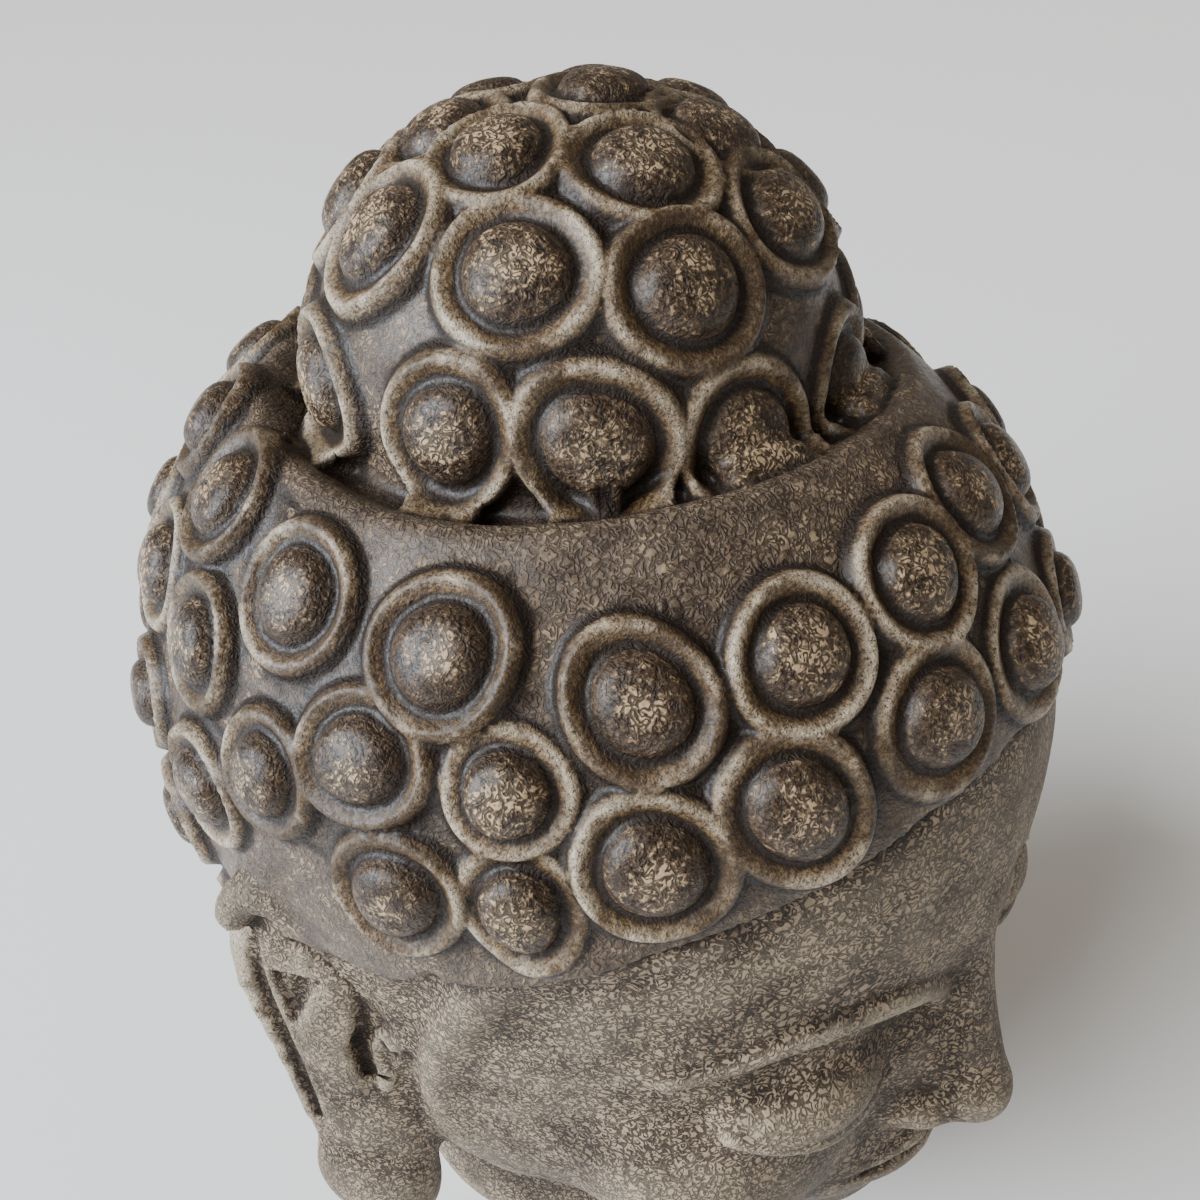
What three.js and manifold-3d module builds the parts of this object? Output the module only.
// A carved stone head, finished flat below the neck so that it stands by its own weight.
// Curls cover the skull and the domed topknot, long ears hang at the sides, and the face is calm,
// with lowered lids. Millimetres, +Z up, face towards -Y, origin in the middle of the flat underside.
import * as THREE from 'three';
import { mergeVertices } from 'three/addons/utils/BufferGeometryUtils.js';
import Module from 'manifold-3d';

const wasm = await Module();
wasm.setup();

// Driving dimensions
const SKULL_HEIGHT = 158;
const SKULL_RADII = [87.5, 98, 85];
const NAPE_CENTRE = [0, 12, 112];
const NAPE_RADII = [72, 70, 90];
const NECK_RADII = [53, 56];
const NECK_SETBACK = 3;
const NECK_TOP = 80;
const NECK_SPARE = 45;
const TOPKNOT_CENTRE = [0, 3.3, 229];
const TOPKNOT_RADII = [47.5, 47.5, 40];
const HAIR_DEPTH = 2;
const CURL_RADIUS = 13;
const CURL_SIDES = 6;
const FINENESS = 0.05;
const EAR_SEAT = [82, 2];
const EAR_SPLAY = 25;
const EAR_SPREAD = [22, 8, 60];
const EAR_CENTRE = [1, 0, 92];
const STONE = { color: 0x4a4036, roughness: 0.55, metalness: 0.0 };

// Soft forms: each gives the distance from a point to its surface, negative inside
function egg(centre, radii) {
  const c = new THREE.Vector3(...centre);
  const r = new THREE.Vector3(...radii);
  return (p) => {
    const q = p.clone().sub(c).divide(r);
    const near = q.length();
    const slope = q.divide(r).length() + 1e-6;
    return near * (near - 1) / slope;
  };
}

function ridge(stations, steps) {
  const places = stations.map(([x, y, z]) => new THREE.Vector3(x, y, z));
  const spine = new THREE.CatmullRomCurve3(places, false, 'catmullrom');
  const beads = [];
  for (let i = 0; i <= steps; i += 1) {
    const along = i / steps * (stations.length - 1);
    const k = Math.min(Math.floor(along), stations.length - 2);
    const radius = THREE.MathUtils.lerp(stations[k][3], stations[k + 1][3], along - k);
    beads.push([spine.getPoint(i / steps), radius]);
  }
  return (p) => {
    let nearest = Infinity;
    for (let i = 1; i < beads.length; i += 1) {
      const [a, ra] = beads[i - 1];
      const [b, rb] = beads[i];
      const ab = b.clone().sub(a);
      const t = THREE.MathUtils.clamp(p.clone().sub(a).dot(ab) / ab.lengthSq(), 0, 1);
      const gap = p.distanceTo(ab.multiplyScalar(t).add(a)) - THREE.MathUtils.lerp(ra, rb, t);
      nearest = Math.min(nearest, gap);
    }
    return nearest;
  };
}

function blend(a, b, softness) {
  const h = THREE.MathUtils.clamp(0.5 + 0.5 * (b - a) / softness, 0, 1);
  return b + (a - b) * h - softness * h * (1 - h);
}

// A carving is a list of strokes: forms added to or cut from what is there, each with a softness
function carving(strokes) {
  return (p) => {
    const mirrored = new THREE.Vector3(Math.abs(p.x), p.y, p.z);
    let d = 1000;
    for (const [action, form, softness] of strokes) {
      if (action === 'add') {
        d = blend(d, form(mirrored), softness);
      } else {
        d = -blend(-d, form(mirrored), softness);
      }
    }
    return d;
  };
}

const neck = (p) => {
  const round = Math.hypot(p.x / NECK_RADII[0], (p.y - NECK_SETBACK) / NECK_RADII[1]);
  return -blend(-(round - 1) * NECK_RADII[0], NECK_TOP - p.z, 10);
};

const UPPER_LIP = ridge([[0, -97.2, 69.4, 2.6], [4.5, -97.6, 70.6, 3.2], [13, -93.5, 68.6, 3], [24, -84.5, 66.8, 1]], 8);
const LOWER_LIP = ridge([[0, -95.6, 60.6, 4.9], [8, -94.2, 61, 4.6], [16, -90, 62.8, 3.2], [23.5, -84.5, 66, 1]], 8);
const NOSE = ridge([[0, -91, 138, 6], [0, -95, 122, 5], [0, -100.5, 105, 5.8], [0, -104.5, 92, 7]], 8);
const bust = carving([
  ['add', egg([0, 0, SKULL_HEIGHT], SKULL_RADII), 1],
  ['add', egg([0, -24, 108], [71, 70, 76]), 20],
  ['add', egg([0, -36, 68], [54, 50, 42]), 16],
  ['add', egg([36, -61, 86], [28, 25, 28]), 14],
  ['add', egg([0, -73, 43], [20, 17, 15.5]), 14],
  ['add', egg([48, -14, 86], [24, 30, 40]), 14],
  ['cut', egg([31, -108, 121], [24, 15, 10.5]), 14],
  ['add', egg([0, -79, 64], [27, 18, 18]), 10],
  ['add', egg(NAPE_CENTRE, NAPE_RADII), 24],
  ['add', neck, 16],
  ['cut', (p) => p.z + NECK_SPARE, 0.5],
]);
const nose = carving([
  ['add', NOSE, 1],
  ['add', egg([0, -104.5, 89.5], [7.6, 8.6, 7.2]), 5],
  ['add', egg([9.8, -97.5, 87], [5.8, 8.2, 5.8]), 4],
]);
const upperLip = carving([['add', UPPER_LIP, 1]]);
const lowerLip = carving([['add', LOWER_LIP, 1]]);
const topknot = egg(TOPKNOT_CENTRE, TOPKNOT_RADII);
const scalp = (p) => blend(bust(p), topknot(p), 5) - HAIR_DEPTH;

// One ear in its own frame: X runs back along the ear, Y out of its face, Z up
const HELIX = ridge([[-17, -1, 134, 3], [-8, 1, 143, 3.6], [6, 3, 145, 3.8], [16, 4, 136, 3.8],
  [18, 4, 118, 3.6], [15, 3.5, 95, 3.2], [9, 2.5, 70, 3.2], [6, 2, 50, 4]], 18);
const ANTIHELIX = ridge([[-6, 2, 134, 2], [4, 3, 126, 2.3], [8, 3, 112, 2.3], [4, 3, 92, 2.2], [-3, 3, 84, 2.4]], 8);
const TRAGUS = ridge([[-19, 2, 118, 2.5], [-15, 4, 108, 3.2], [-15, 4, 97, 2.6], [-12, 2, 88, 2]], 7);
const earStrokes = [
  ['add', HELIX, 1],
  ['add', egg([1, -3, 112], [19, 6, 34]), 3],
  ['add', egg([-3, -1, 66], [13, 5, 36]), 5],
  ['add', egg([-4, 0, 44], [14, 6.5, 15]), 6],
  ['add', TRAGUS, 2.5],
  ['cut', egg([-5, 6, 110], [8, 7, 17]), 3],
  ['add', ANTIHELIX, 2],
];
const ear = (p) => {
  let d = 1000;
  for (const [action, form, softness] of earStrokes) {
    d = action === 'add' ? blend(d, form(p), softness) : -blend(-d, form(p), softness);
  }
  return d;
};

// Solids
function closed(geometry) {
  geometry.deleteAttribute('normal');
  geometry.deleteAttribute('uv');
  const merged = mergeVertices(geometry, 1e-3);
  const corners = merged.index.array;
  const kept = [];
  for (let i = 0; i < corners.length; i += 3) {
    const [a, b, c] = corners.slice(i, i + 3);
    if (a !== b && b !== c && c !== a) {
      kept.push(a, b, c);
    }
  }
  const vertProperties = new Float32Array(merged.attributes.position.array);
  const triVerts = new Uint32Array(kept);
  return new wasm.Manifold(new wasm.Mesh({ numProp: 3, vertProperties, triVerts, tolerance: FINENESS }));
}

// The outermost place where a ray from the centre leaves a form
function surfacePoint(form, centre, direction, reach) {
  const at = (t) => centre.clone().addScaledVector(direction, t);
  let outside = reach;
  while (outside > 0 && form(at(outside)) > 0) {
    outside -= reach / 80;
  }
  let inside = outside;
  outside += reach / 80;
  for (let i = 0; i < 16; i += 1) {
    const middle = (inside + outside) / 2;
    if (form(at(middle)) > 0) {
      outside = middle;
    } else {
      inside = middle;
    }
  }
  return at(inside);
}

function outward(form, point) {
  const slope = ['x', 'y', 'z'].map((axis) => {
    const ahead = point.clone();
    const behind = point.clone();
    ahead[axis] += 0.5;
    behind[axis] -= 0.5;
    return form(ahead) - form(behind);
  });
  return new THREE.Vector3(...slope).normalize();
}

// A sphere's skin pressed onto a form, with its rings crowded towards the -Y pole by a power of crowding
function pressed(form, centre, spread, across, down, crowding, reach) {
  const geometry = new THREE.SphereGeometry(1, across, down);
  const place = geometry.attributes.position;
  const middle = new THREE.Vector3(...centre);
  const stretch = new THREE.Vector3(...spread);
  for (let i = 0; i < place.count; i += 1) {
    const ray = new THREE.Vector3().fromBufferAttribute(place, i);
    const fromPole = Math.acos(THREE.MathUtils.clamp(-ray.y, -1, 1)) / Math.PI;
    const angle = Math.PI * fromPole ** crowding;
    const flat = Math.hypot(ray.x, ray.z);
    const widen = flat < 1e-6 ? 0 : Math.sin(angle) / flat;
    ray.set(ray.x * widen, -Math.cos(angle), ray.z * widen).multiply(stretch);
    const hit = surfacePoint(form, middle, ray, reach);
    place.setXYZ(i, hit.x, hit.y, hit.z);
  }
  return geometry;
}

function earSolid(side) {
  const geometry = pressed(ear, EAR_CENTRE, EAR_SPREAD, 24, 13, 1, 1.6);
  const turn = new THREE.Matrix4().makeRotationZ(THREE.MathUtils.degToRad(90 - EAR_SPLAY));
  geometry.scale(1, -1, 1);
  geometry.applyMatrix4(turn);
  geometry.translate(EAR_SEAT[0], EAR_SEAT[1], 0);
  geometry.scale(side, 1, 1);
  if (side > 0) {
    geometry.index.array.reverse();
  }
  return closed(geometry);
}

// One curl: a raised ring round a hollow, with a rounded boss in the middle
const CURL_PROFILE = [[0, -44], [0.9, 4.2], [0.6, 1.5], [0, 7]];
function curlSolid(foot, normal, size) {
  const radius = CURL_RADIUS * size;
  const profile = CURL_PROFILE.map(([r, h]) => new THREE.Vector2(r * radius, h));
  const geometry = new THREE.LatheGeometry(profile, CURL_SIDES);
  const lean = new THREE.Quaternion().setFromUnitVectors(new THREE.Vector3(0, 1, 0), normal);
  geometry.applyQuaternion(lean);
  geometry.translate(foot.x, foot.y, foot.z);
  return closed(geometry);
}

// Curls stand where a ray at an azimuth (0 to the front, positive to the figure's left) and a latitude,
// or level with a height, leaves the head
function direction(azimuth, latitude, radii) {
  const a = THREE.MathUtils.degToRad(azimuth);
  const b = THREE.MathUtils.degToRad(latitude);
  const reach = 1 / Math.hypot(Math.sin(a) / radii[0], Math.cos(a) / radii[1]);
  return new THREE.Vector3(reach * Math.cos(b) * Math.sin(a), -reach * Math.cos(b) * Math.cos(a),
    radii[2] * Math.sin(b));
}

const curls = [];
function plant(centre, ray, size) {
  const foot = surfacePoint(scalp, centre, ray, 1.6);
  curls.push(curlSolid(foot, outward(scalp, foot), size));
}

// Topknot: azimuths and latitudes of its four rows, from its foot to its top
const TOPKNOT_ROWS = [
  [[5, 4], [-20.3, 1], [-46.7, 6.4], [-72.5, 5.8], [-104, 5], [-132, 3], [-160, 3], [172.4, 3], [144.6, 3],
    [117, 3], [89, 3], [61, 3], [33, 3]],
  [[7.5, 41], [-28, 33.5], [-62.5, 37], [-98, 38], [-134, 37], [-170.5, 37], [153, 37], [117, 37], [80, 37],
    [44, 37]],
  [[-28.5, 59.5], [-81, 62.5], [-132, 61], [177, 61], [125.5, 61], [74, 61], [22.8, 61]],
  [[18, 77], [-135, 77], [115, 77]],
];
const knot = new THREE.Vector3(...TOPKNOT_CENTRE);
for (const [azimuth, latitude] of TOPKNOT_ROWS.flat()) {
  plant(knot, direction(azimuth, latitude, TOPKNOT_RADII), 1);
}

// Crown: azimuths and latitudes of the ring of curls round the topknot's foot
const skull = new THREE.Vector3(0, 0, SKULL_HEIGHT);
const CROWN = [[8, 43.5], [-8.6, 40.5], [-26.8, 36.8], [-44.9, 33.7], [-68, 35.7], [-90.6, 35.8], [-114.8, 39],
  [-137, 40], [-159, 41], [180, 41], [159, 40], [137, 39], [114, 38], [91, 36], [68, 35], [46, 34.5], [26, 39]];
for (const [azimuth, latitude] of CROWN) {
  plant(skull, direction(azimuth, latitude, SKULL_RADII), 1);
}

// Temples: the curls along the hairline and between it and the crown, on both sides
const TEMPLE = [[12.8, 26.7, 1], [30.3, 22.4, 1], [44.2, 17.1, 1], [57.5, 10.5, 0.86], [70.9, 8.3, 0.96],
  [59, 23.4, 0.84], [76, 22.7, 0.96], [89.2, 15.3, 0.9]];
for (const [azimuth, latitude, size] of TEMPLE) {
  plant(skull, direction(-azimuth, latitude, SKULL_RADII), size);
  plant(skull, direction(azimuth - (azimuth < 40 ? 8.5 : 0), latitude, SKULL_RADII), size);
}

// Back: staggered rows from behind one ear to behind the other, down to the nape
const BACK_ROWS = [[9, 106, 193], [9, 101, 168], [8, 116, 142.5], [8, 109, 117], [7, 116, 92.5], [6, 114, 69]];
for (const [count, edge, height] of BACK_ROWS) {
  for (let i = 0; i < count; i += 1) {
    const azimuth = edge + (360 - 2 * edge) / (count - 1) * i;
    plant(new THREE.Vector3(0, 0, height), direction(azimuth, 0, SKULL_RADII), 0.96);
  }
}

// The hair is one layer with its curls, trimmed at the nape, behind the ears and along the hairline
const hairline = new THREE.Shape([[-130, -20], [130, -20], [130, 58], [8, 58], [8, 138], [0, 138.5], [-15, 143],
  [-34, 150], [-55, 162], [-74, 174], [-90, 184], [-96, 187], [-130, 200]].map(([y, z]) => new THREE.Vector2(y, z)));
const bare = new THREE.ExtrudeGeometry(hairline, { depth: 240, bevelEnabled: false });
bare.rotateX(Math.PI / 2);
bare.rotateZ(Math.PI / 2);
bare.translate(-120, 0, 0);
const cap = closed(pressed((p) => bust(p) - HAIR_DEPTH, [0, 0, 130], [1, 1, 1], 20, 14, 1, 190));
const dome = new THREE.SphereGeometry(1, 16, 10);
dome.scale(...TOPKNOT_RADII.map((radius) => radius + HAIR_DEPTH));
dome.translate(...TOPKNOT_CENTRE);
const hair = curls.reduce((all, curl) => all.add(curl), cap.add(closed(dome))).subtract(closed(bare));

// Face: lidded eyes, brows and lid edges as raised lines, nose and mouth, each sunk into the skin
function eyeball(side) {
  const geometry = new THREE.SphereGeometry(1, 14, 9);
  geometry.scale(21.5, 18.5, 13);
  geometry.translate(32 * side, -75.5, 114);
  return closed(geometry);
}

function line(stations, thickness, side) {
  const path = new THREE.CatmullRomCurve3(stations.map(([x, y, z]) => new THREE.Vector3(x * side, y, z)));
  const section = new THREE.Shape().absarc(0, 0, thickness, 0, Math.PI * 2);
  return closed(new THREE.ExtrudeGeometry(section, { steps: 9, curveSegments: 3, extrudePath: path }));
}

const BROW = [[12, -96, 127], [17, -94.5, 133], [28, -92.5, 137.5], [43, -85, 138], [60, -70, 130]];
const LID_EDGE = [[13, -86, 112.5], [22, -90.6, 110.6], [33, -92.2, 108.4], [44, -86.5, 109.2], [52, -77, 112.5]];
const features = [
  closed(pressed(nose, [0, -92, 105], [1, 1, 1], 16, 14, 1, 60)),
  closed(pressed(upperLip, [0.3, -93.3, 69], [25, 8, 5], 16, 8, 1, 1.6)),
  closed(pressed(lowerLip, [0.3, -92.3, 61.3], [24, 8, 6], 16, 8, 1, 1.6)),
];
for (const side of [-1, 1]) {
  features.push(eyeball(side), line(BROW, 2.4, side), line(LID_EDGE, 1.8, side));
}
const smooth = closed(pressed(bust, [0, 0, 100], [1, 1, 1], 36, 24, 1.3, 190));
const skin = features.reduce((face, feature) => face.add(feature), smooth);
const floor = closed(new THREE.BoxGeometry(300, 300, 100).translate(0, 0, -50));
const stone = skin.add(hair).add(earSolid(1)).add(earSolid(-1)).subtract(floor);

function toGeometry(solid) {
  const mesh = solid.getMesh();
  const geometry = new THREE.BufferGeometry();
  geometry.setAttribute('position', new THREE.BufferAttribute(mesh.vertProperties, 3));
  geometry.setIndex(new THREE.BufferAttribute(mesh.triVerts, 1));
  geometry.computeVertexNormals();
  return geometry;
}

const buddhaHead = new THREE.Mesh(toGeometry(stone), new THREE.MeshStandardMaterial(STONE));
buddhaHead.name = 'buddha_head';

const group = new THREE.Group();
group.add(buddhaHead);

export default group;
